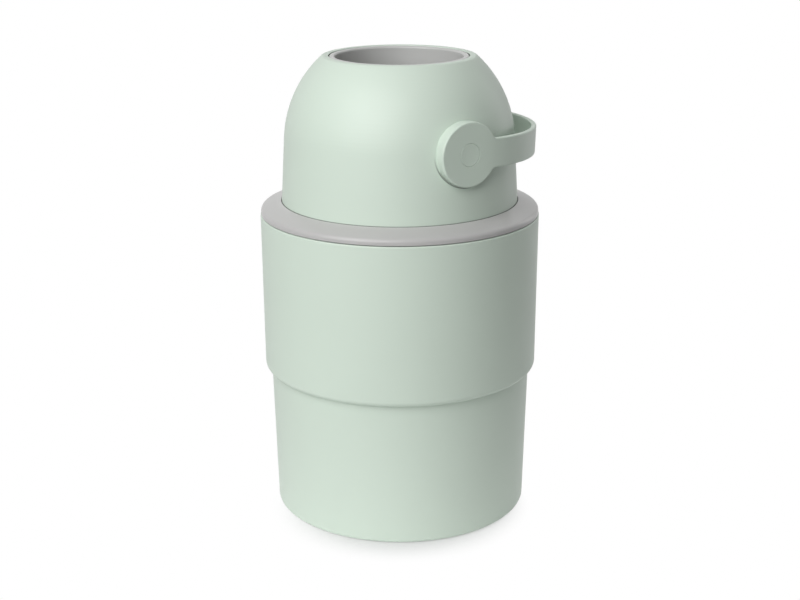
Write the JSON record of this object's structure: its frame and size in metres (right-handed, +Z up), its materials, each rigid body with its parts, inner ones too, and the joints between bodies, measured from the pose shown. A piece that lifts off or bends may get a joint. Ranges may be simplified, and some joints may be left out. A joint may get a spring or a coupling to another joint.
{
  "type": "nappy bin",
  "caption": "Flip-over nappy bin: tapered round body, lift-off domed head, a ball with a through chamber turned by a side handle, and a weighted piston sliding in it.",
  "frame": {"origin": "middle of the underside, on the floor", "axes": "+Z up through the mouth; the handle's pivot lies along Y with the front disc towards -Y; the resting handle points to +X"},
  "size_m": [0.2698, 0.2698, 0.4466],
  "materials": {
    "sage_plastic": "fine satin moulded surface",
    "warm_grey_plastic": "satin moulded surface",
    "chamber_grey_plastic": "smooth satin moulded surface",
    "seal_rubber": "soft matt thermoplastic rubber",
    "screw_steel": "zinc plated",
    "bearing_plastic": "natural acetal"
  },
  "bodies": {
    "body": {"lower_bucket": "sage_plastic", "base_pads": "seal_rubber", "upper_sleeve": "sage_plastic", "sleeve_screws": "screw_steel", "bag_collar": "warm_grey_plastic", "rim_gasket": "seal_rubber"},
    "head": {"shoulder_ring": "warm_grey_plastic", "dome_shell": "sage_plastic", "throat": "warm_grey_plastic", "head_screws": "screw_steel", "upper_wiper_seal": "seal_rubber", "lower_wiper_seal": "seal_rubber", "front_bush": "bearing_plastic", "back_bush": "bearing_plastic"},
    "rotor": {"chamber_tube": "chamber_grey_plastic", "upper_mouth_ring": "chamber_grey_plastic", "lower_mouth_ring": "chamber_grey_plastic", "upper_ball_half": "warm_grey_plastic", "lower_ball_half": "warm_grey_plastic", "ball_screws": "screw_steel", "front_trunnion": "bearing_plastic", "back_trunnion": "bearing_plastic", "trunnion_screws": "screw_steel", "handle_bail": "sage_plastic", "handle_screws": "screw_steel", "front_cap": "sage_plastic", "back_cap": "sage_plastic"},
    "piston": {"piston_cup": "chamber_grey_plastic", "piston_cover": "chamber_grey_plastic", "piston_weight": "screw_steel", "piston_seals": "seal_rubber", "piston_screws": "screw_steel"}
  },
  "joints": [
    {"name": "head_lift", "type": "slide", "parent": "body", "child": "head", "axis": [0, 0, 1], "range_m": [0, 0.15]},
    {"name": "handle_turn", "type": "hinge", "parent": "head", "child": "rotor", "pos_m": [0, 0, 0.3708], "axis": [0, -1, 0], "range_deg": [0, 180]},
    {"name": "piston_slide", "type": "slide", "parent": "rotor", "child": "piston", "axis": [0, 0, 1], "range_m": [0, 0.0844]}
  ]
}
